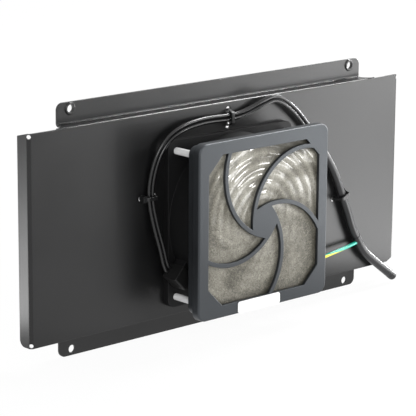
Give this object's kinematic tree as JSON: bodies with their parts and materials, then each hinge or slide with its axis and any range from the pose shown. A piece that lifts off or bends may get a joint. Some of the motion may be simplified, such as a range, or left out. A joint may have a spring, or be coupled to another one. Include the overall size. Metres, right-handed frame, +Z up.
{
  "type": "rack fan tray",
  "caption": "Folded steel rack panel carrying a mains axial fan behind a clip-on swirl filter guard, with tied leads, an earth wire and a short supply cord.",
  "frame": {"origin": "centre of the four rack holes, on the back plane of the lips that lie against the rack", "axes": "+X to the right along the panel, +Y from the fan towards the rack, +Z up"},
  "size_m": [0.357, 0.0519, 0.177],
  "materials": {
    "panel_paint": "satin",
    "fan_casting": "satin",
    "guard_plastic": "satin",
    "filter_mesh": "fibrous",
    "label_white": "satin",
    "impeller_plastic": "satin",
    "motor_steel": "machined",
    "winding": "enamelled",
    "spacer_plating": "polished",
    "bright_steel": "zinc plated",
    "guard_wire": "bright",
    "plug_plastic": "satin",
    "lead_black": "satin",
    "sleeve_black": "satin",
    "cord_black": "satin",
    "earth_green": "striped green and yellow",
    "tie_nylon": "satin"
  },
  "bodies": {
    "tray": {"mounting_panel": "panel_paint", "fan_frame": "fan_casting", "fan_terminals": "bright_steel", "rear_bearing": "motor_steel", "front_bearing": "motor_steel", "stator_core": "motor_steel", "stator_coils": "winding", "guard_base": "guard_plastic", "spacers": "spacer_plating", "fan_screws": "bright_steel", "lock_washers": "bright_steel", "fan_nuts": "bright_steel", "finger_guard": "guard_wire", "fan_plug": "plug_plastic", "outer_lead": "lead_black", "inner_lead": "lead_black", "lead_sleeve": "sleeve_black", "breakout_boot": "sleeve_black", "supply_cord": "cord_black", "cord_cap": "cord_black", "earth_wire": "earth_green", "earth_ring": "bright_steel", "left_tie": "tie_nylon", "top_tie": "tie_nylon", "right_tie": "tie_nylon"},
    "rotor": {"impeller": "impeller_plastic", "rotor_ring": "motor_steel", "shaft": "motor_steel", "shaft_clip": "motor_steel"},
    "filter_cover": {"filter_retainer": "guard_plastic", "filter_pad": "filter_mesh", "label_plate": "label_white"}
  },
  "joints": [
    {"name": "rotor_spin", "type": "hinge", "parent": "tray", "child": "rotor", "pos_m": [0, -0.024, -0.0064], "axis": [0, -1, 0], "continuous": true},
    {"name": "cover_pull", "type": "slide", "parent": "tray", "child": "filter_cover", "axis": [0, -1, 0], "range_m": [0, 0.03]}
  ]
}
